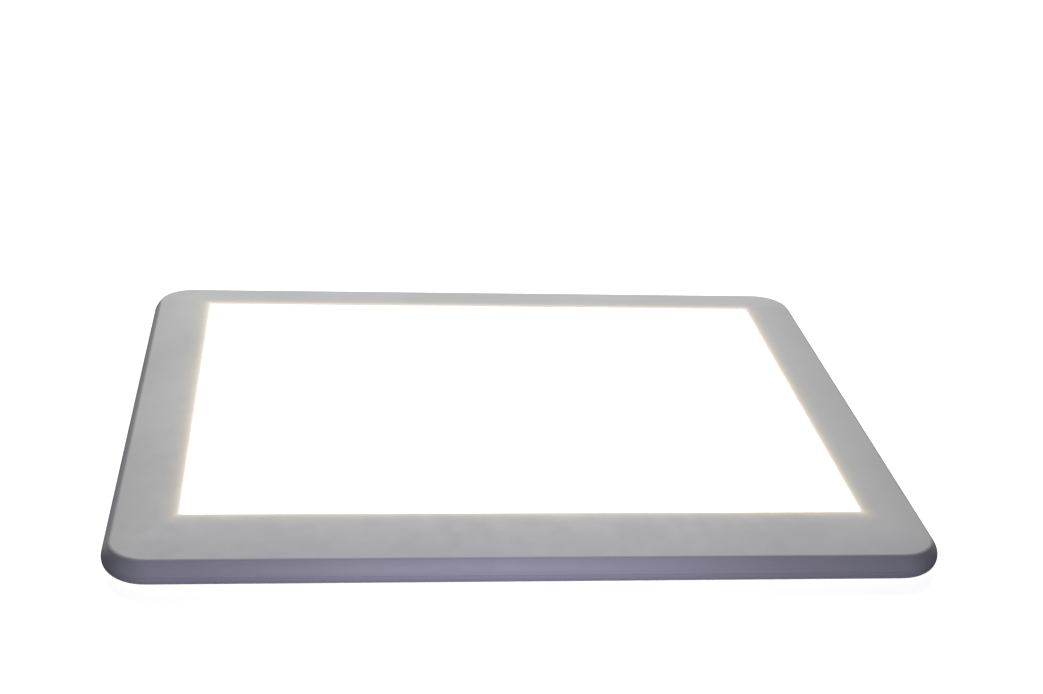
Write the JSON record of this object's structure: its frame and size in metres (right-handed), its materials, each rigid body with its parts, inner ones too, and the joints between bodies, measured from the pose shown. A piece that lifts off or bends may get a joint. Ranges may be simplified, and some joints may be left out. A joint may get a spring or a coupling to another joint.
{
  "type": "light therapy lamp",
  "caption": "Slim tablet-shaped light therapy lamp with an edge-lit opal panel in a crowned bezel, a folding rear kickstand and a side power button.",
  "frame": {"origin": "middle of the surface that the four back feet rest on, with the lamp lying on its back and its kickstand folded", "axes": "+X up the case from the edge it stands on to its top edge, +Y across it towards the wall with the inlet and the button, +Z out of the lit face"},
  "size_m": [0.268, 0.223, 0.0135],
  "materials": {
    "bezel_plastic": "fine satin, moulded ABS",
    "shell_plastic": "fine satin, moulded ABS",
    "opal_acrylic": "satin face, lit from behind",
    "optical_film": "clear film",
    "guide_acrylic": "polished clear sheet",
    "white_film": "white mirror film",
    "foam": "closed-cell foam",
    "aluminium_sheet": "mill finish",
    "strip_board": "aluminium core with white solder resist",
    "led_housing": "white housing with yellow gel",
    "tape": "thermal tape",
    "leg_plastic": "fine satin, moulded ABS",
    "soft_rubber": "matt, non-slip",
    "steel": "zinc plated",
    "polymer_washer": "acetal",
    "black_plastic": "moulded nylon",
    "plated_brass": "nickel plated",
    "button_plastic": "satin",
    "green_board": "solder resist on glass laminate",
    "ferrite": "moulded ferrite",
    "capacitor_can": "drawn can",
    "header_plastic": "natural nylon",
    "wire_jacket": "PVC insulation"
  },
  "bodies": {
    "case": {"front_bezel": "bezel_plastic", "rear_shell": "shell_plastic", "window_gasket": "foam", "diffuser_panel": "opal_acrylic", "prism_film": "optical_film", "diffuser_film": "optical_film", "light_guide": "guide_acrylic", "reflector_sheet": "white_film", "back_plate": "aluminium_sheet", "led_strip_near": "strip_board", "led_strip_far": "strip_board", "led_packages_near": "led_housing", "led_packages_far": "led_housing", "thermal_tapes": "tape", "hinge_pin": "steel", "friction_washers": "polymer_washer", "pin_straps": "steel", "jack_body": "black_plastic", "jack_center_pin": "plated_brass", "jack_contact": "plated_brass", "tact_switch": "black_plastic", "inlet_board": "green_board", "control_board": "green_board", "driver_chip": "black_plastic", "power_inductor": "ferrite", "capacitors": "capacitor_can", "wire_headers": "header_plastic", "inlet_wires": "wire_jacket", "strip_wires": "wire_jacket", "case_screws": "steel", "plate_screws": "steel", "strap_screws": "steel", "board_screws": "steel", "rubber_feet": "soft_rubber", "standing_beads": "soft_rubber"},
    "kickstand": {"kickstand": "leg_plastic", "kickstand_pad": "soft_rubber"},
    "power_button": {"power_button": "button_plastic", "switch_stem": "header_plastic"}
  },
  "joints": [
    {"name": "kickstand_hinge", "type": "hinge", "parent": "case", "child": "kickstand", "pos_m": [0.01, 0, 0.003], "axis": [0, -1, 0], "range_deg": [0, 65]},
    {"name": "power_button_press", "type": "slide", "parent": "case", "child": "power_button", "axis": [0, -1, 0], "range_m": [0, 0.0005], "stiffness_N_per_m": 3000, "springref_m": -0.0002}
  ]
}
